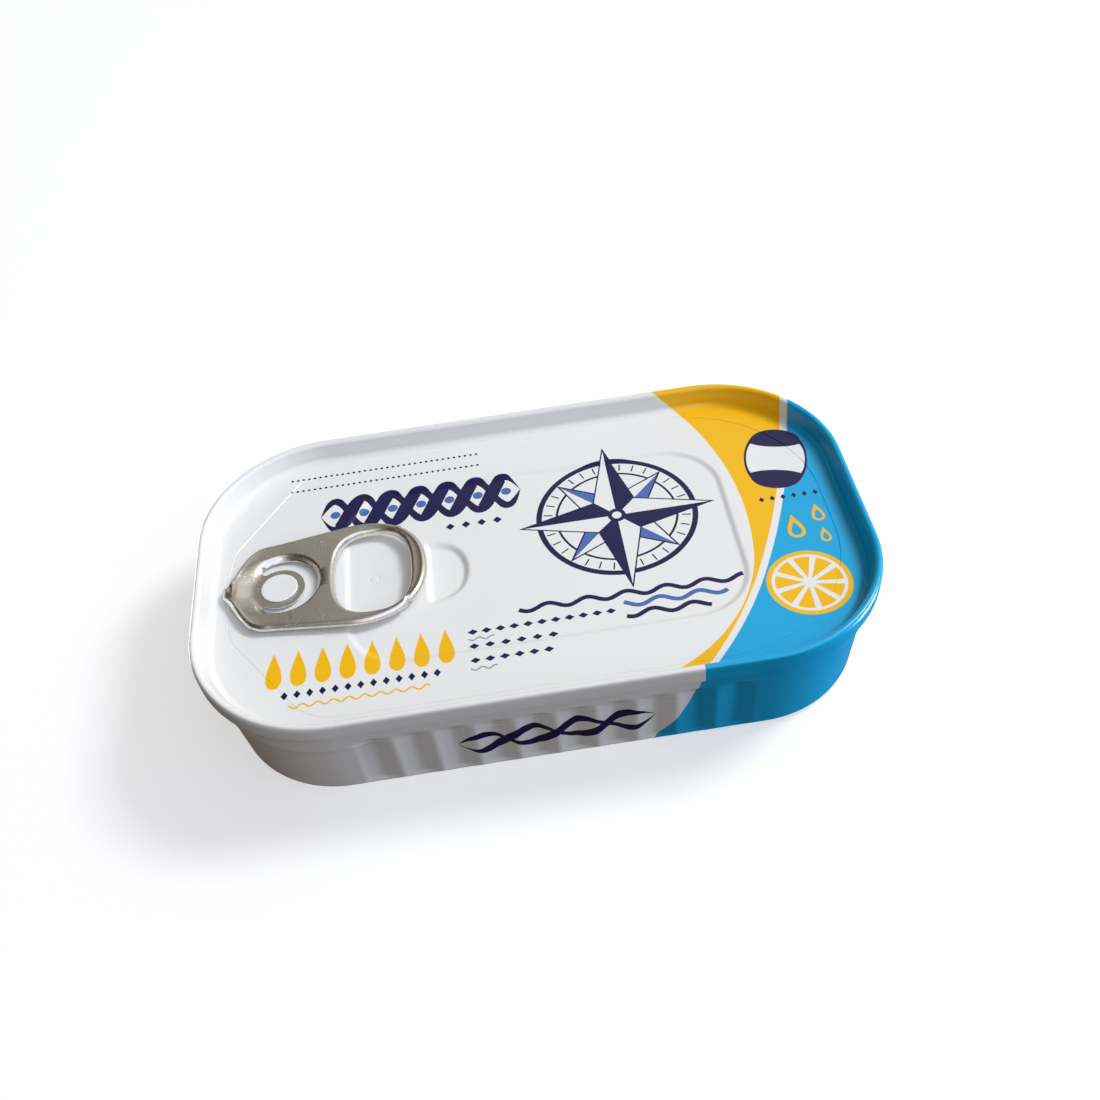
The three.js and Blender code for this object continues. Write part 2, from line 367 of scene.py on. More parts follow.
def paint_over(tree, under, over, amount):
    """Colour over laid on colour under where amount is above zero."""
    mask = maths(tree, "GREATER_THAN", amount, 0.0)
    return add(tree, "ShaderNodeMix", {0: mask, 6: under, 7: over}, data_type="RGBA").outputs[2]


def bands(tree, x, y, lean):
    """How far a place lies beyond the edges of the yellow sweep, the white line and the cyan end;
    lean moves the yellow's edge to the left."""
    leaning = maths(tree, "ADD", x, lean)
    yellow = beyond_curve(tree, leaning, y, *YELLOW_EDGE)
    line = beyond_curve(tree, x, y, *LINE_EDGE)
    cyan = maths(tree, "SUBTRACT", line, LINE_WIDTH)
    return yellow, line, cyan


def lid_lacquer():
    """White enamel with a yellow sweep, a white line and a cyan end."""
    material, tree = new_material("lid_printed_lacquer")
    x, y, z, place = millimetres(tree)
    rise = maths(tree, "SUBTRACT", z, PANEL_Z)
    rise = maths(tree, "MAXIMUM", rise, 0.0)
    lean = maths(tree, "MULTIPLY", rise, YELLOW_LEAN)
    yellow, line, cyan = bands(tree, x, y, lean)
    # The front of the rim has one straight change from white to cyan, and no yellow.
    rim_edge = -WIDTH / 2 + FOOT_INSET + 0.15
    on_panel = maths(tree, "GREATER_THAN", y, rim_edge)
    front_cyan = maths(tree, "SUBTRACT", x, RIM_CYAN)
    yellow = maths(tree, "MULTIPLY", yellow, on_panel)
    line = maths(tree, "MULTIPLY", line, on_panel)
    cyan = add(tree, "ShaderNodeMix", {0: on_panel, 2: front_cyan, 3: cyan})
    colour = paint_over(tree, linear(WHITE_ENAMEL), linear(YELLOW_INK), yellow)
    colour = paint_over(tree, colour, linear(WHITE_ENAMEL), line)
    colour = paint_over(tree, colour, linear(CYAN_INK), cyan)
    lacquer_finish(tree, colour, place)
    return material


def strand(tree, x, z, within, phase):
    """How far a place lies inside a waving band; the band swells and thins as it runs, and tapers
    to a point where within, the distance from its end, comes to nothing."""
    pace = 2 * math.pi / WALL_BAND_PERIOD
    turn = maths(tree, "MULTIPLY_ADD", x, pace, phase)
    wave = maths(tree, "SINE", turn)
    height = maths(tree, "MULTIPLY_ADD", wave, WALL_BAND_RISE, WALL_BAND_MIDDLE)
    away = maths(tree, "SUBTRACT", z, height)
    away = maths(tree, "ABSOLUTE", away)
    swell = maths(tree, "COSINE", turn)
    half = maths(tree, "MULTIPLY_ADD", swell, PLAIT_SWELL, PLAIT_HALF)
    taper = maths(tree, "DIVIDE", within, WALL_BAND_TAPER, use_clamp=True)
    half = maths(tree, "MULTIPLY", half, taper)
    return maths(tree, "SUBTRACT", half, away)


def body_lacquer():
    """White enamel with a cyan end, and on both long sides a navy band of two crossing waves.
    At the back the lid's bands run on down the wall."""
    material, tree = new_material("body_printed_lacquer")
    x, y, z, place = millimetres(tree)
    low = maths(tree, "SUBTRACT", z, WALL_CYAN_LOW)
    high = maths(tree, "SUBTRACT", z, WALL_CYAN_HIGH)
    bend = maths(tree, "MULTIPLY_ADD", high, -WALL_CYAN_BOW, WALL_CYAN_LEAN)
    edge = maths(tree, "MULTIPLY_ADD", low, bend, WALL_CYAN)
    front_cyan = maths(tree, "SUBTRACT", x, edge)
    behind = maths(tree, "GREATER_THAN", y, 0.0)
    yellow, line, cyan = bands(tree, x, y, 0.0)
    yellow = maths(tree, "MULTIPLY", yellow, behind)
    line = maths(tree, "MULTIPLY", line, behind)
    cyan = add(tree, "ShaderNodeMix", {0: behind, 2: front_cyan, 3: cyan})
    colour = paint_over(tree, linear(WHITE_ENAMEL), linear(YELLOW_INK), yellow)
    colour = paint_over(tree, colour, linear(WHITE_ENAMEL), line)
    colour = paint_over(tree, colour, linear(CYAN_INK), cyan)
    within = maths(tree, "ABSOLUTE", x)
    within = maths(tree, "SUBTRACT", WALL_BAND_HALF, within)
    for phase in (0.0, math.pi):
        band = strand(tree, x, z, within, phase)
        colour = paint_over(tree, colour, linear(NAVY_INK), band)
    lacquer_finish(tree, colour, place)
    return material


def plain_ink(name, hex_colour):
    """Offset ink under the same clear lacquer as the enamel round it."""
    material, tree = new_material(name)
    place = millimetres(tree)[3]
    lacquer_finish(tree, linear(hex_colour), place)
    return material


def bare_tinplate():
    """Stamped electrolytic tinplate: a satin grey with a faint warm cast, rolling grain along the
    tab, and patches of fine scuffs where it was handled."""
    material, tree = new_material("bare_tinplate")
    place = millimetres(tree)[3]
    grain_place = add(tree, "ShaderNodeMapping", {"Vector": place, "Scale": (0.5, 9.0, 1.0)})
    grain = noise(tree, grain_place, 1.2, 6.0)
    cloud = noise(tree, place, 0.5, 5.0, 0.65)
    tone = add(tree, "ShaderNodeMix", {0: cloud, 6: linear("#D3D1CA"), 7: linear("#E9E7E0")},
               data_type="RGBA")
    rough = remap(tree, grain, 0.0, 1.0, 0.22, 0.36)
    fleck = remap(tree, noise(tree, place, 2.2, 2.0), 0.6, 0.68, 0.0, 1.0)
    handled = remap(tree, noise(tree, place, 0.22, 1.0), 0.5, 0.6, 0.0, 1.0)
    scuff = maths(tree, "MULTIPLY", fleck, handled)
    rough = maths(tree, "MULTIPLY_ADD", scuff, 0.3, rough)
    relief = maths(tree, "MULTIPLY_ADD", scuff, 5.0, grain)
    bump = add(tree, "ShaderNodeBump", {"Strength": 0.2, "Distance": 0.00002, "Height": relief})
    shader = add(tree, "ShaderNodeBsdfPrincipled", {
        "Base Color": tone.outputs[2],
        "Metallic": 1.0,
        "Roughness": rough,
        "Normal": bump,
    })
    add(tree, "ShaderNodeOutputMaterial", {"Surface": shader})
    return material


# Body and rim: a profile swept round the tin by Geometry Nodes

def sweep_tree():
    """Sweeps a profile round a rounded oblong and presses flutes into its long sides."""
    tree = bpy.data.node_groups.new("oblong_sweep", "GeometryNodeTree")
    sockets = tree.interface
    sockets.new_socket("Profile", in_out="INPUT", socket_type="NodeSocketGeometry")
    sizes = ("Length", "Width", "Corner", "Step", "Flute Pitch", "Flute Reach", "Flute Depth",
             "Flute Top", "Flute Run Out", "Foot", "Step Level", "Step Fade")
    for name in sizes:
        sockets.new_socket(name, in_out="INPUT", socket_type="NodeSocketFloat")
    sockets.new_socket("Material", in_out="INPUT", socket_type="NodeSocketMaterial")
    sockets.new_socket("Mesh", in_out="OUTPUT", socket_type="NodeSocketGeometry")
    given = add(tree, "NodeGroupInput").outputs
    # The wall swells by swell_share of the step's depth. What lies further across the tin than
    # wall_share of its width counts as wall.
    swell_share, wall_share = 0.8, 0.4

    oblong = add(tree, "GeometryNodeCurvePrimitiveQuadrilateral", [given["Length"], given["Width"]])
    path = add(tree, "GeometryNodeFilletCurve", {"Curve": oblong, "Radius": given["Corner"], "Count": 40},
               mode="POLY")
    path = add(tree, "GeometryNodeResampleCurve", {"Curve": path, "Length": given["Step"]}, mode="LENGTH")
    path = add(tree, "GeometryNodeSetCurveNormal", {"Curve": path}, mode="Z_UP")
    profile = add(tree, "GeometryNodeMeshToCurve", {"Mesh": given["Profile"]})
    skin = add(tree, "GeometryNodeCurveToMesh", {"Curve": path, "Profile Curve": profile})

    place = add(tree, "ShaderNodeSeparateXYZ", [add(tree, "GeometryNodeInputPosition")])
    x, y, z = (place.outputs[axis] for axis in "XYZ")
    away = maths(tree, "ABSOLUTE", x)
    fluted = maths(tree, "LESS_THAN", away, given["Flute Reach"])
    turn = maths(tree, "DIVIDE", x, given["Flute Pitch"])
    turn = maths(tree, "MULTIPLY", turn, 2 * math.pi)
    thrice = maths(tree, "MULTIPLY", turn, 3.0)
    first = maths(tree, "COSINE", turn)
    third = maths(tree, "COSINE", thrice)
    # A cosine and a ninth of its third harmonic make a wave with round crests and straight flanks.
    wave = maths(tree, "MULTIPLY_ADD", third, 1 / 9, first)
    wave = maths(tree, "MULTIPLY_ADD", wave, -0.45, 0.5)
    start = maths(tree, "SUBTRACT", given["Flute Top"], given["Flute Run Out"])
    top = remap(tree, z, start, given["Flute Top"], 1.0, 0.0, interpolation_type="SMOOTHSTEP")
    quarter = maths(tree, "MULTIPLY", given["Foot"], 0.25)
    foot = remap(tree, z, quarter, given["Foot"], 0.0, 1.0, interpolation_type="SMOOTHSTEP")
    depth = maths(tree, "MULTIPLY", wave, given["Flute Depth"])
    # Among the flutes the step below the neck fades out: the wall swells out to meet it.
    pad = maths(tree, "SUBTRACT", given["Flute Reach"], given["Flute Pitch"])
    ends = remap(tree, away, given["Flute Reach"], pad, 0.0, 1.0, interpolation_type="SMOOTHSTEP")
    below = remap(tree, z, 0.0, given["Step Level"], 0.0, 1.0)
    step_end = maths(tree, "ADD", given["Step Level"], given["Step Fade"])
    under = remap(tree, z, given["Step Level"], step_end, 1.0, 0.0)
    swell = maths(tree, "MULTIPLY", below, under)
    swell = maths(tree, "MULTIPLY", swell, ends)
    swell = maths(tree, "MULTIPLY", swell, given["Step Fade"])
    swell = maths(tree, "MULTIPLY", swell, swell_share)
    inwards = maths(tree, "MULTIPLY", depth, fluted)
    inwards = maths(tree, "MULTIPLY", inwards, top)
    inwards = maths(tree, "SUBTRACT", inwards, swell)
    inwards = maths(tree, "MULTIPLY", inwards, foot)
    side = maths(tree, "SIGN", y)
    across = maths(tree, "ABSOLUTE", y)
    rim = maths(tree, "MULTIPLY", given["Width"], wall_share)
    outer = maths(tree, "GREATER_THAN", across, rim)
    side = maths(tree, "MULTIPLY", side, outer)
    push = maths(tree, "MULTIPLY", inwards, side)
    push = maths(tree, "MULTIPLY", push, -1.0)
    shift = add(tree, "ShaderNodeCombineXYZ", {"Y": push})
    skin = add(tree, "GeometryNodeSetPosition", {"Geometry": skin, "Offset": shift})
    skin = add(tree, "GeometryNodeRealizeInstances", {"Geometry": skin})
    skin = add(tree, "GeometryNodeSetMaterial", {"Geometry": skin, "Material": given["Material"]})
    add(tree, "NodeGroupOutput", {"Mesh": skin})
    return tree


def swept(name, tree, profile, material, sizes):
    """The mesh of a profile, in millimetres outwards and up, swept round the tin."""
    drawing = bpy.data.meshes.new(name + "_profile")
    # The sweep lays the drawing's Y downwards.
    corners = [(out * MM, -up * MM, 0) for out, up in profile]
    drawing.from_pydata(corners, [(i, i + 1) for i in range(len(corners) - 1)], [])
    piece = new_piece(name, drawing)
    modifier = piece.modifiers.new("sweep", "NODES")
    modifier.node_group = tree
    sizes = {"Length": LENGTH, "Width": WIDTH, "Corner": CORNER, "Step": PATH_STEP, **sizes}
    for item in tree.interface.items_tree:
        if item.name in sizes:
            modifier[item.identifier] = sizes[item.name] * MM
    modifier[tree.interface.items_tree["Material"].identifier] = material
    shape = piece.evaluated_get(bpy.context.evaluated_depsgraph_get())
    mesh = bpy.data.meshes.new_from_object(shape)
    bpy.data.objects.remove(piece)
    return mesh


def body_profile():
    """From the middle of the base out, up the wall and in behind the lid's seam."""
    recess, inner_recess = 0.5, 0.9
    land_outer = BASE_INSET + BASE_RADIUS
    land_inner = land_outer + 3.5
    base = round_corners(
        [(-17, inner_recess), (-13.6, inner_recess), (-13.0, recess), (-land_inner - recess, recess),
         (-land_inner, 0), (-land_outer, 0)],
        [0, 0.3, 0.3, 0.3, 0.3, 0], closed=False, spacing=0.1)
    foot = arc((-land_outer, BASE_RADIUS), BASE_RADIUS, -90, 0, 0.2)
    wall = round_corners(
        [foot[-1], (-STEP_INSET - STEP_DEPTH, STEP_TOP - STEP_DEPTH * 1.4), (-STEP_INSET, STEP_TOP),
         (-NECK_INSET, SEAM_BOTTOM - 0.1), (-NECK_INSET - 0.3, SEAM_BOTTOM - 0.1),
         (-NECK_INSET - 0.3, PANEL_Z - UNDER_PANEL - 0.1)],
        [0, 0.25, 0.25, 0, 0, 0], closed=False, spacing=0.08)
    # Rows a third of a millimetre apart carry the flutes' run-out.
    tall = []
    for (out, up), (next_out, next_up) in zip(wall, wall[1:]):
        rows = max(1, round(abs(next_up - up) / 0.35))
        shares = [row / rows for row in range(rows)]
        tall += [(out + (next_out - out) * share, up + (next_up - up) * share) for share in shares]
    return base + foot[1:-1] + tall + [wall[-1]]


def rim_profile():
    """From the panel's edge up the sunk wall, over the seam and under it to below the panel."""
    foot = arc((-FOOT_INSET, PANEL_Z + FOOT_RADIUS), FOOT_RADIUS, -90, 0, 0.1)
    inner, crest = (-SEAM_WIDTH, HEIGHT - 0.9), (-SEAM_CREST, HEIGHT)
    top = bezier(inner, (-SEAM_WIDTH + 0.04, HEIGHT - 0.35), (-0.95, HEIGHT), crest, 12)
    top += bezier(crest, (-0.2, HEIGHT), (-0.02, HEIGHT - 0.3), (0, HEIGHT - 0.75), 10)
    face = bezier((0, HEIGHT - 0.75), (0, HEIGHT - 1.3), (-0.01, HEIGHT - 2.0), (-0.06, HEIGHT - 2.7), 8)
    hem = arc((-0.08 - SEAM_HEM, SEAM_BOTTOM + SEAM_HEM), SEAM_HEM, 0, -90, 0.06)
    neck = NECK_INSET + 0.33
    under = PANEL_Z - UNDER_PANEL
    inside = [(-neck, SEAM_BOTTOM), (-neck, under), (-FOOT_INSET - 1, under)]
    return foot + top + face + hem + inside


def close_holes(shape):
    """Fills each open loop of a shape with one flat face."""
    rims = [edge for edge in shape.edges if edge.is_boundary]
    bmesh.ops.holes_fill(shape, edges=rims, sides=0)
    bmesh.ops.recalc_face_normals(shape, faces=shape.faces)


def smooth(mesh, sharp_degrees=40):
    mesh.shade_smooth()
    mesh.set_sharp_from_angle(angle=math.radians(sharp_degrees))


def build_body(tree):
    lacquer = body_lacquer()
    mesh = swept("tin_body", tree, body_profile(), lacquer, {
        "Flute Pitch": FLUTE_PITCH, "Flute Reach": FLUTE_REACH, "Flute Depth": FLUTE_DEPTH,
        "Flute Top": FLUTE_TOP, "Flute Run Out": FLUTE_RUN_OUT, "Foot": BASE_RADIUS,
        "Step Level": STEP_TOP - STEP_DEPTH * 1.4, "Step Fade": STEP_DEPTH})
    shape = bmesh.new()
    shape.from_mesh(mesh)
    bmesh.ops.remove_doubles(shape, verts=shape.verts, dist=0.002 * MM)
    close_holes(shape)
    shape.to_mesh(mesh)
    shape.free()
    smooth(mesh)
    return new_piece("tin_body", mesh)


# Lid

FIELD = rounded_rectangle(63.1, 37.6, 9.5, 1.75)
# The finger well is a D, upright on its left and bowed on its right.
WELL = arc((-15.9, 5.1 + TAB_Y), 1.0, 90, 180) + arc((-15.9, -6.3 + TAB_Y), 1.0, 180, 270)[:-1] + bezier(
    (-15.9, -7.3 + TAB_Y), (-11.6, -7.1 + TAB_Y), (-9.7, -4.2 + TAB_Y), (-9.7, -0.6 + TAB_Y)) + bezier(
    (-9.7, -0.6 + TAB_Y), (-9.7, 3.0 + TAB_Y), (-11.6, 5.9 + TAB_Y), (-15.9, 6.1 + TAB_Y))
SCORE = round_corners(
    [(48.2, -26.9), (48.2, 26.9), (-35.2, 26.9), (-47.55, 9.42), (-48.9, 0), (-47.55, -9.42),
     (-35.2, -26.9)],
    [22.3, 22.3, 9, 6, 10, 6, 9])


def panel_relief(points):
    """How far each point of the panel lies below its rim."""
    z = -FIELD_DEPTH * ease(-signed_distance(points, FIELD) / FIELD_SLOPE)
    z -= WELL_DEPTH * ease(-signed_distance(points, WELL) / WELL_SLOPE)
    z -= SCORE_DEPTH * np.clip(1 - abs(signed_distance(points, SCORE)) / SCORE_HALF, 0, 1)
    from_stamp = np.linalg.norm(points - np.array(STAMP), axis=1)
    return z - STAMP_DEPTH * np.exp(-((from_stamp - STAMP_RADIUS) / 0.16) ** 2)


def panel_creases():
    # A loop just past each end of a slope keeps the flat stretches flat in shading.
    creases = [offset(SCORE, shift * SCORE_HALF) for shift in (-1.6, -1, 0, 1, 1.6)]
    for outline, slope in ((FIELD, FIELD_SLOPE), (WELL, WELL_SLOPE)):
        creases += [offset(outline, -slope * part / 6) for part in range(-1, 8)]
    rings = (0.5, 0.75, 0.87, 1, 1.13, 1.25, 1.5)
    return creases + [circle(STAMP, STAMP_RADIUS * part, 0.12) for part in rings]


def open_loop(shape, level):
    """The vertices of the open edge at height level, counter-clockwise round the tin."""
    rim = [vert for vert in shape.verts if vert.is_boundary and abs(vert.co.z - level * MM) < 0.02 * MM]
    start = rim[0]
    loop, edge = [start], None
    while True:
        edge = next(e for e in loop[-1].link_edges if e.is_boundary and e is not edge)
        vert = edge.other_vert(loop[-1])
        if vert is start:
            return loop if loop[0].co.xy.cross(loop[1].co.xy) > 0 else loop[::-1]
        loop.append(vert)


def build_lid(tree, prints):
    inks = {
        None: lid_lacquer(),
        "navy": plain_ink("navy_ink", NAVY_INK),
        "blue": plain_ink("mid_blue_ink", MID_BLUE_INK),
        "yellow": plain_ink("yellow_ink", YELLOW_INK),
        "white": plain_ink("white_ink", WHITE_ENAMEL),
        "grey": plain_ink("grey_ink", GREY_INK),
    }
    mesh = swept("tin_lid", tree, rim_profile(), inks[None], {"Flute Pitch": FLUTE_PITCH})
    shape = bmesh.new()
    shape.from_mesh(mesh)
    bmesh.ops.remove_doubles(shape, verts=shape.verts, dist=0.002 * MM)
    border = open_loop(shape, PANEL_Z)
    flat, triangles, holders, sources = cut_up(
        [vert.co.xy / MM for vert in border], panel_creases(), [outline for _, outline in prints])
    heights = panel_relief(flat)
    verts = []
    for point, height, source in zip(flat, heights, sources):
        shared = [index for index in source if index < len(border)]
        if shared:
            verts.append(border[shared[0]])
        else:
            verts.append(shape.verts.new((point[0] * MM, point[1] * MM, (PANEL_Z + height) * MM)))
    order = list(inks)
    for corners, holder in zip(triangles, holders):
        face = shape.faces.new([verts[i] for i in corners])
        face.material_index = 0 if holder is None else order.index(prints[holder][0])
    add_rivet(shape)
    close_holes(shape)
    shape.to_mesh(mesh)
    shape.free()
    smooth(mesh)
    return new_piece("tin_lid", mesh, *list(inks.values())[1:])


def add_rivet(shape):
    """The rivet's stem and flat head, turned round its axis."""
    stem, head_edge = 1.8, 0.12
    foot, under_head = PANEL_Z - 0.2, RIVET_TOP - 0.28
    profile = [(0, foot), (stem, foot), (stem, under_head), (RIVET_HEAD - 0.1, under_head)]
    profile += arc((RIVET_HEAD - head_edge, RIVET_TOP - head_edge), head_edge, 0, 90, 0.04)
    profile += [(RIVET_HEAD - 0.6, RIVET_TOP - 0.02), (0, RIVET_TOP - 0.05)]
    steps = 72
    rings = []
    for radius, z in profile:
        if radius == 0:
            rings.append([shape.verts.new((RIVET[0] * MM, RIVET[1] * MM, z * MM))])
            continue
        turns = [2 * math.pi * step / steps for step in range(steps)]
        rings.append([shape.verts.new((
            (RIVET[0] + radius * math.cos(turn)) * MM,
            (RIVET[1] + radius * math.sin(turn)) * MM,
            z * MM)) for turn in turns])
    for lower, upper in zip(rings, rings[1:]):
        for i in range(steps):
            j = (i + 1) % steps
            ends = ((lower, i), (lower, j), (upper, j), (upper, i))
            corners = [ring[k % len(ring)] for ring, k in ends]
            shape.faces.new(list(dict.fromkeys(corners)))


# Printed motifs on the lid: each is an ink and an outline, the later ones lying on top

def turned(outline, centre, degrees=0.0, scale=1.0):
    """The outline turned and scaled about the origin, then moved to centre."""
    turn = Matrix.Rotation(math.radians(degrees), 2)
    return [tuple(Vector(centre) + scale * (turn @ Vector(point))) for point in outline]


def ribbon(path, widths):
    """The outline of a band that follows path; widths holds its full width at each point."""
    points = np.array(path)
    along = np.gradient(points, axis=0)
    along /= np.linalg.norm(along, axis=1)[:, None]
    across = np.stack([along[:, 1], -along[:, 0]], axis=1) * np.array(widths)[:, None] / 2
    return [tuple(p) for p in points + across] + [tuple(p) for p in (points - across)[::-1]]


def wavy_line(start, end, middle, rise, period, width, phase=0.0):
    """A level sine wave with twelve steps to a period."""
    steps = round((end - start) / period * 12)
    xs = [start + (end - start) * step / steps for step in range(steps + 1)]
    path = [(x, middle + rise * math.sin(2 * math.pi * x / period + phase)) for x in xs]
    return ribbon(path, [width] * len(path))


def drop(height, width, steps=26):
    """A drop standing on its round end, with its middle at the origin."""
    pinch, plump = 1.6, 0.62
    points = []
    for step in range(steps):
        turn = 2 * math.pi * step / steps
        side = -width * math.sin(turn) * math.sin(turn / 2) ** pinch * plump
        points.append((side, height / 2 * math.cos(turn)))
    return points


def lozenge(width, height):
    return [(-width / 2, 0), (0, -height / 2), (width / 2, 0), (0, height / 2)]


def plait(start, end, middle, rise, period):
    """Two navy waves that cross, swelling and thinning as they run, with a blue spot in each eye."""
    tip, taper, spot = 0.1, 3, 0.85
    prints = []
    steps = round((end - start) * 4)
    xs = [start + (end - start) * step / steps for step in range(steps + 1)]
    for side in (1, -1):
        turns = [2 * math.pi * (x - start) / period for x in xs]
        path = [(x, middle + side * rise * math.sin(turn)) for x, turn in zip(xs, turns)]
        widths = [PLAIT_HALF * 2 + side * PLAIT_SWELL * 2 * math.cos(turn) for turn in turns]
        widths = [width * min(1, (tip + min(x - start, end - x)) / taper) for width, x in zip(widths, xs)]
        prints.append(("navy", ribbon(path, widths)))
    eyes = round((end - start) / period * 2)
    for eye in range(eyes):
        prints.append(("blue", circle((start + (eye + 0.5) * period / 2, middle), spot)))
    return prints


def compass_rose(centre, radius):
    """An eight-pointed star in a ring, each point half dark and half light."""
    prints = []
    for outer, inner in ((1.0, 0.93), (0.76, 0.73)):
        prints.append(("navy", circle(centre, radius * outer, 0.8)))
        prints.append((None, circle(centre, radius * inner, 0.8)))
    low, high, half = 0.8 * radius, 0.91 * radius, 0.12
    mark = [(-half, low), (half, low), (half, high), (-half, high)]
    for tick in range(32):
        prints.append(("navy", turned(mark, centre, tick * 11.25)))
    for first, reach, waist, ink in ((45, 0.88, 0.22, "blue"), (0, 1.16, 0.25, "navy")):
        for quarter in range(4):
            tip = (0, reach * radius)
            left = (-waist * radius, waist * radius)
            right = (waist * radius, waist * radius)
            turn = first + quarter * 90
            prints.append(("navy", turned([(0, 0), (right[0] + 0.25, right[1]), (0, tip[1] + 0.9),
                                           (left[0] - 0.25, left[1])], centre, turn)))
            prints.append(("white", turned([(0, 0), (0, tip[1]), left], centre, turn)))
            prints.append((ink, turned([(0, 0), right, tip], centre, turn)))
    prints.append(("navy", circle(centre, 1.5)))
    prints.append(("white", circle(centre, 0.8)))
    return prints


def citrus_slice(centre, radius, segments):
    """A round of lemon: a rind, a white pith and plump wedges."""
    prints = [("yellow", circle(centre, radius)), ("white", circle(centre, radius * 0.88))]
    # Half the angle between two wedges, and the points along a wedge's rim.
    gap, steps = 0.09, 8
    half = math.pi / segments - gap
    inner, outer = 0.13 * radius, 0.8 * radius
    turns = [-half + 2 * half * step / steps for step in range(steps + 1)]
    wedge = [(0, inner)] + [(outer * math.sin(turn), outer * math.cos(turn)) for turn in reversed(turns)]
    for number in range(segments):
        prints.append(("yellow", turned(wedge, centre, number * 360 / segments)))
    return prints


def barrel_badge(centre, width, height, degrees):
    """A barrel with a navy head, foot and outline and a white middle."""
    x, y = width / 2, height / 2

    def barrel(corner, bulge, crown):
        """Its outline from a corner, the handle of its bulging side and the handle of its top."""
        (cx, cy), (bx, by), (tx, ty) = corner, bulge, crown
        side = bezier((x * cx, -y * cy), (x * bx, -y * by), (x * bx, y * by), (x * cx, y * cy))
        cap = bezier((x * cx, y * cy), (x * tx, y * ty), (-x * tx, y * ty), (-x * cx, y * cy))
        half = side + cap
        return turned(half + [(-px, -py) for px, py in half], centre, degrees)

    return [("navy", barrel((0.8, 0.66), (1.07, 0.3), (0.6, 1.12))),
            ("white", barrel((0.78, 0.5), (0.98, 0.3), (0.4, 0.36)))]


def row(ink, shape, start, end, level, count):
    """The shape repeated count times from start to end along a level line."""
    step = (end - start) / (count - 1)
    return [(ink, turned(shape, (start + step * i, level))) for i in range(count)]


def lid_prints():
    """The motifs on the lid's panel."""
    prints = plait(-33.5, 0.1, 15.0, 3.3, 9.6)
    prints += row("navy", lozenge(1.5, 1.5), -12.2, -4.4, 8.6, 4)
    prints += compass_rose((15.0, 5.5), 13.2)
    for number, (ink, start) in enumerate((("navy", -3.0), ("blue", 13.0), ("navy", 13.0))):
        level = -11.6 - number * 2.1
        prints.append((ink, wavy_line(start, 32.0 - number * 3, level, 0.55, 6.1, 0.8, number * 1.4)))
    prints += row("yellow", drop(7.0, 2.9), -40.6, -14.6, -16.6, 8)
    prints += row("navy", lozenge(1.1, 1.5), -38.9, -16.2, -21.6, 13)
    prints.append(("yellow", wavy_line(-38.3, -17.4, -23.8, 0.33, 2.3, 0.3)))
    for level, end in ((-14.6, 10.8), (-17.4, 1.6)):
        prints += row("navy", lozenge(1.6, 1.1), -10.4, end, level, round((end + 10.4) / 2.2) + 1)
    prints += row("navy", lozenge(1.6, 1.1), -10.4, 0.6, -20.4, 6)
    for level in (-16.0, -22.0):
        prints.append(("grey", wavy_line(-11.2, -7.2, level, 0.25, 2.0, 0.25)))
    for level in (25.0, 22.2):
        prints += row("navy", circle((0, 0), 0.25, 0.2), -38.5, -6.5, level, 34)
    prints += barrel_badge((43.1, 12.8), 10.4, 14.4, -13)
    prints += row("navy", lozenge(0.9, 1.2), 38.5, 47.3, 3.6, 6)
    prints += citrus_slice((41.3, -15.2), 6.5, 9)
    for centre, height in (((42.2, -3.2), 5.2), ((46.4, -0.9), 3.9), ((46.3, -5.9), 3.2)):
        shape = drop(height, height * 0.62)
        lower = (centre[0], centre[1] - 0.1 * height)
        prints.append(("yellow", turned(shape, centre)))
        prints.append((None, turned(shape, lower, 0, 0.6)))
    return prints


# Ring pull

def tab_outline():
    """The tab from above: a blunt nose, sides that widen a little and a round end."""
    tip, end = 0.8, TAB_END
    shoulder, heel = (-41.0, -9.0), (-28.5, -10.6)
    lower = bezier((NOSE, -tip), (NOSE + 3, -4.6), (NOSE + 3, shoulder[1]), shoulder, 40)
    lower += bezier(shoulder, (-37, shoulder[1] - 0.5), (-32, heel[1] + 0.4), heel, 30)
    lower += bezier(heel, (heel[0] + 7.6, heel[1] - 0.6), (end, -7), (end, 0), 90)
    upper = [(x, -y) for x, y in lower[1:][::-1]]
    outline = lower + [(end, 0)] + upper + [(NOSE, tip)]
    # Two flaws in the curl: a nick at the front of the finger end, and a burr at its back.
    for flaw, reach, depth in (((-19.0, -8.3), 0.7, 0.5), ((-20.0, 9.0), 0.5, -0.3)):
        middle = min(outline, key=lambda point: math.dist(point, flaw))
        inwards = (Vector((-25, 0)) - Vector(middle)).normalized()
        nears = [max(0.0, 1 - math.dist(point, middle) / reach) for point in outline]
        outline = [tuple(Vector(point) + inwards * depth * near) for point, near in zip(outline, nears)]
    return outline


HOLE_CREST = superellipse((-25.03, 0), 6.7, 9.1, 2.6, 120)
SLOT_CENTRE = (-39.3, 0.1)
SLOT_CREST = 6.3
SLOT_OUTER = 5.5
ISLAND = 4.0
SLOT_REACH = 122


def slot_outline():
    """The curved slot round the island, with round ends."""
    island = (RIVET[0], RIVET[1] - TAB_Y)
    outer = arc(SLOT_CENTRE, SLOT_OUTER, -SLOT_REACH, SLOT_REACH)
    inner = arc(island, ISLAND, SLOT_REACH, -SLOT_REACH)
    outline = []
    for side, other in ((outer, inner), (inner, outer)):
        outline += side
        start, end = Vector(side[-1]), Vector(other[0])
        middle, reach = (start + end) / 2, (end - start).length / 2
        first = math.degrees(math.atan2(*(start - middle).yx))
        outline += arc(middle, reach, first, first + 180, 0.15)[1:-1]
    return outline


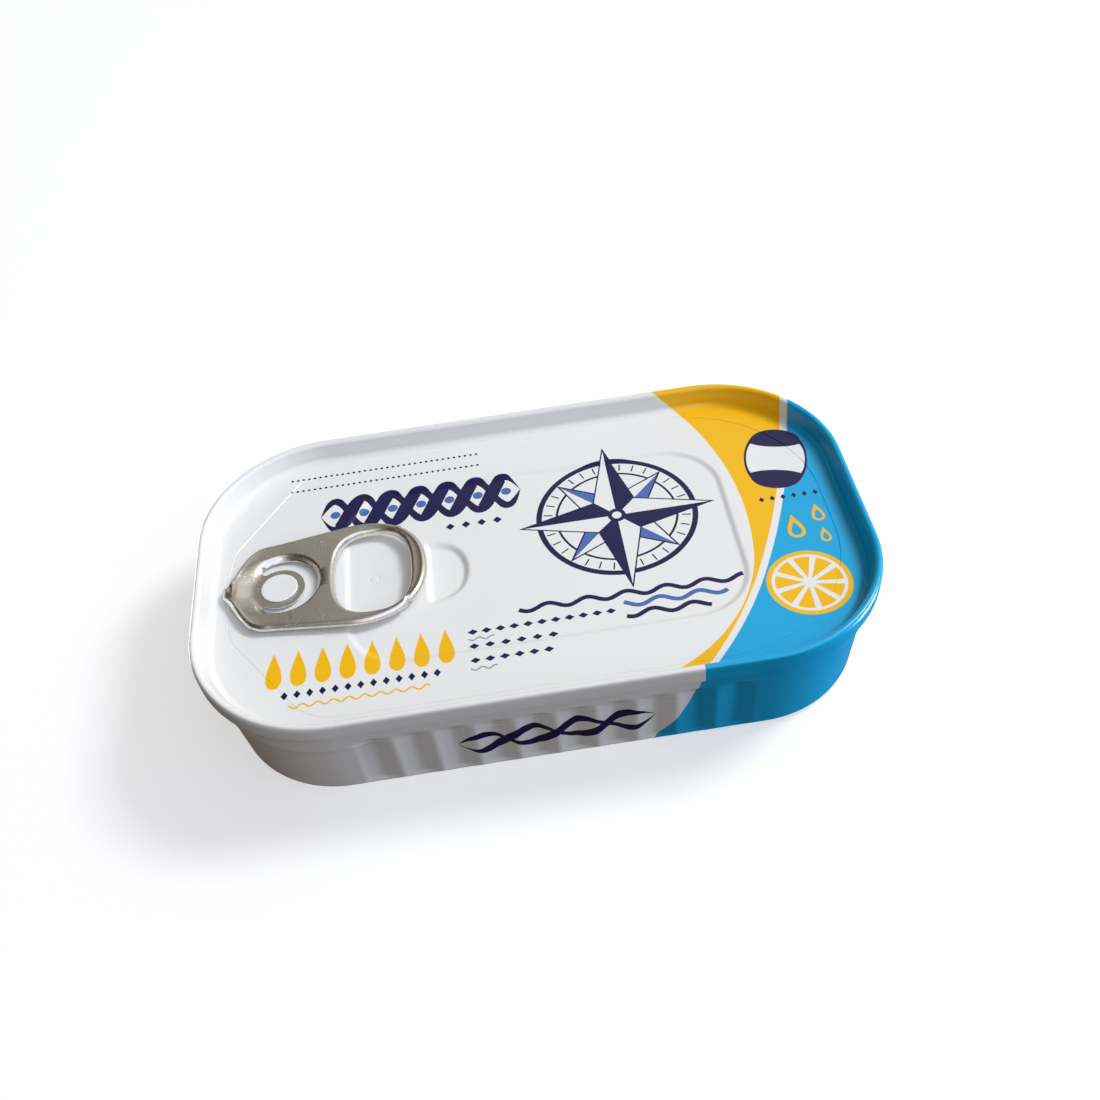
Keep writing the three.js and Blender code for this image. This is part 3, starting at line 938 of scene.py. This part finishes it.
def dish_outline():
    """The dish that lets the island down: round about the rivet, drawn out towards the nose."""
    bow = arc(SLOT_CENTRE, SLOT_CREST, -112, 112)
    return bow[:-1] + bezier(bow[-1], (-43.6, 6.0), (-46.6, 4.4), (NOSE + 1.3, 1.6)) + bezier(
        (NOSE + 1.3, -1.6), (-46.6, -4.4), (-43.6, -6.0), bow[0])


def tab_top(points, outline, dish):
    """Height of the tab's upper face."""
    x, y = points[:, 0], points[:, 1]
    edge = -signed_distance(points, outline)
    z = TAB_TOP - TAB_BEAD - TAB_ROLL * quarter_round(1 - edge / TAB_ROLL)
    z += TAB_BEAD * np.exp(-((edge - TAB_ROLL) / 0.3) ** 2)
    into_hole = -signed_distance(points, HOLE_CREST)
    z -= (TAB_TOP - TAB_BEAD - TAB_BOTTOM - 0.05) * quarter_round(into_hole / HOLE_ROLL)
    slope = DISH_SLOPE + 2.6 * ease((-41.5 - x) / 3)
    z -= ISLAND_DROP * ease(-signed_distance(points, dish) / slope)
    droop = ease((DROOP_START - x) / DROOP_RUN)
    z -= 0.25 * droop
    # Folds that gather the curl at the nose.
    z += 0.16 * droop * np.sin(3.1 * y + 2.2 * x) * np.clip(edge / 0.5, 0, 1)
    return z


def tab_under(points, outline):
    """Height of the tab's under face."""
    edge = -signed_distance(points, outline)
    z = TAB_BOTTOM + (TAB_ROLL - TAB_BEAD) * quarter_round(1 - edge / TAB_ROLL)
    return z - 0.22 * ease((DROOP_START - points[:, 0]) / DROOP_RUN)


def build_ring():
    outline, dish, slot = tab_outline(), dish_outline(), slot_outline()
    hole = offset(HOLE_CREST, -HOLE_ROLL)
    creases = []
    for rim, depth, parts in (
            (outline, TAB_ROLL, (0.04, 0.14, 0.3, 0.5, 0.75, 1.0, 1.3, 1.7)),
            (HOLE_CREST, HOLE_ROLL, (-0.3, 0, 0.2, 0.4, 0.6, 0.78, 0.9, 0.97)),
            (dish, DISH_SLOPE, (0, 0.2, 0.4, 0.6, 0.8, 1.0))):
        creases += [offset(rim, -depth * part) for part in parts]
    # A grid of points carries the dish's slope.
    spread = 0.4
    filling = [(NOSE + spread * i, spread * j) for i in range(1, 40) for j in range(-20, 21)]
    distances = signed_distance(filling, offset(dish, 0.3))
    filling = [point for point, away in zip(filling, distances) if away < 0]
    margin = [(NOSE - 1, -12), (TAB_END + 1.3, -12), (TAB_END + 1.3, 12), (NOSE - 1, 12)]
    flat, triangles, holders, _ = cut_up(margin, creases, [outline, hole, slot], filling)
    kept = [corners for corners, holder in zip(triangles, holders) if holder == 0]

    shape = bmesh.new()
    sheets = []
    for heights in (tab_top(flat, outline, dish), tab_under(flat, outline)):
        # The finger end stands a little clear of the panel.
        heights = heights + TAB_RISE * np.clip((flat[:, 0] - RIVET[0]) / (TAB_END - RIVET[0]), 0, 1)
        sheets.append([shape.verts.new((x * MM, (y + TAB_Y) * MM, z * MM))
                       for (x, y), z in zip(flat, heights)])
    top, under = sheets
    sides = {}
    for corners in kept:
        shape.faces.new([top[i] for i in corners])
        shape.faces.new([under[i] for i in reversed(corners)])
        for a, b in zip(corners, corners[1:] + corners[:1]):
            sides[(a, b)] = True
    for a, b in sides:
        if (b, a) not in sides:
            shape.faces.new([top[b], top[a], under[a], under[b]])
    bmesh.ops.delete(shape, geom=[vert for vert in shape.verts if not vert.link_faces], context="VERTS")
    bmesh.ops.remove_doubles(shape, verts=shape.verts, dist=0.004 * MM)
    bmesh.ops.recalc_face_normals(shape, faces=shape.faces)
    mesh = bpy.data.meshes.new("ring_pull")
    shape.to_mesh(mesh)
    shape.free()
    smooth(mesh, 50)
    return new_piece("ring_pull", mesh, bare_tinplate())


# Studio

def build_floor():
    """A wide pale floor."""
    material, tree = new_material("pale_floor")
    shader = add(tree, "ShaderNodeBsdfPrincipled", {
        "Base Color": linear("#C4C4C3"),
        "Roughness": 0.9,
        "Emission Color": linear("#FFFFFF"),
        "Emission Strength": 0.5,
    })
    add(tree, "ShaderNodeOutputMaterial", {"Surface": shader})
    mesh = bpy.data.meshes.new("floor")
    reach = 4.0
    corners = [(-reach, -reach, 0), (reach, -reach, 0), (reach, reach, 0), (-reach, reach, 0)]
    mesh.from_pydata(corners, [], [(0, 1, 2, 3)])
    floor = new_piece("floor", mesh, material)
    # What the table throws back comes from two lamps below it, so the floor itself neither lights
    # nor shades.
    floor.visible_diffuse = False
    floor.visible_glossy = False
    floor.visible_shadow = False


def heading(azimuth, elevation):
    """The direction at an azimuth and an elevation; azimuth 0 is the tin's right, 90 its back."""
    around, up = math.radians(azimuth), math.radians(elevation)
    return Vector((math.cos(up) * math.cos(around), math.cos(up) * math.sin(around), math.sin(up)))


def glow(tree, direction, azimuth, elevation, outer, colour, room):
    """Adds to the room's light a soft glow round a direction; outer is its reach in degrees."""
    likeness = add(tree, "ShaderNodeVectorMath", [direction, heading(azimuth, elevation)],
                   operation="DOT_PRODUCT")
    near = likeness.outputs["Value"]
    edge = math.cos(math.radians(outer))
    amount = remap(tree, near, edge, 1.0, 0.0, 1.0, interpolation_type="SMOOTHSTEP")
    return add(tree, "ShaderNodeMix", {0: amount, 6: room, 7: colour}, data_type="RGBA").outputs[2]


def build_world():
    """Soft room light: warm and dim, with a bright cool glow from the front right and a fainter
    neutral one from the back right."""
    world = bpy.data.worlds.new("room")
    bpy.context.scene.world = world
    world.use_nodes = True
    tree = world.node_tree
    tree.nodes.clear()
    direction = add(tree, "ShaderNodeTexCoord").outputs["Generated"]
    room = linear("#352C20")
    room = glow(tree, direction, -56, 46, 50, linear("#DCE7FF"), room)
    room = glow(tree, direction, 38, 36, 68, linear("#AEACA4"), room)
    light = add(tree, "ShaderNodeBackground", {"Color": room, "Strength": 1.75})
    # The room itself is out of the picture: behind the floor stands a pale backdrop.
    backdrop = add(tree, "ShaderNodeBackground", {"Color": linear("#F2F2F1"), "Strength": 1.0})
    seen = add(tree, "ShaderNodeLightPath").outputs["Is Camera Ray"]
    light = add(tree, "ShaderNodeMixShader", [seen, light, backdrop])
    add(tree, "ShaderNodeOutputWorld", {"Surface": light})


def add_light(name, azimuth, elevation, distance, size, watts, hex_colour):
    """A square soft light, size metres wide, aimed at the tin from distance metres away."""
    light = bpy.data.lights.new(name, "AREA")
    light.size = size
    light.energy = watts
    light.color = linear(hex_colour)[:3]
    towards = heading(azimuth, elevation)
    lamp = bpy.data.objects.new(name, light)
    lamp.location = towards * distance
    lamp.rotation_euler = (-towards).to_track_quat("-Z", "Y").to_euler()
    bpy.context.collection.objects.link(lamp)


def place_camera():
    """The photograph's view: from the front and above, rolled a little anticlockwise."""
    azimuth, elevation, roll = (math.radians(value) for value in (-1.933, 46.294, -7.2645))
    along, right_shift, up_shift = 210.24, 1.791, 11.876
    back = Vector((math.sin(azimuth) * math.cos(elevation), -math.cos(azimuth) * math.cos(elevation),
                   math.sin(elevation)))
    level_right = Vector((math.cos(azimuth), math.sin(azimuth), 0))
    level_up = back.cross(level_right)
    right = level_right * math.cos(roll) + level_up * math.sin(roll)
    up = level_up * math.cos(roll) - level_right * math.sin(roll)
    data = bpy.data.cameras.new("photo_view")
    data.sensor_width = 36.0
    data.lens = 40.616
    data.clip_start = 0.01
    camera = bpy.data.objects.new("photo_view", data)
    place = (back * along + right * right_shift + up * up_shift) * MM
    camera.matrix_world = Matrix.Translation(place) @ Matrix((right, up, back)).transposed().to_4x4()
    bpy.context.collection.objects.link(camera)
    bpy.context.scene.camera = camera


bpy.context.scene.view_settings.view_transform = "Standard"
place_camera()
build_floor()
build_world()
add_light("window", 15, 46, 1.1, 0.28, 8.0, "#FAFBFF")
add_light("table_bounce", -1, -24, 0.8, 0.25, 6.0, "#DCECFF")
add_light("table_bounce_behind", 138, -22, 0.8, 0.25, 2.6, "#F4F1EC")
add_light("warm_lamp", -98, 26, 0.5, 0.08, 0.12, "#FFDC8C")

sweep = sweep_tree()
body = build_body(sweep)
lid = build_lid(sweep, lid_prints())
ring = build_ring()

for piece, node, slot in ((body, "can_body", "body_lacquer"), (lid, "lid", "lid_lacquer"),
                          (ring, "pull_ring", "ring_tinplate")):
    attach(piece, "root")
    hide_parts(node)
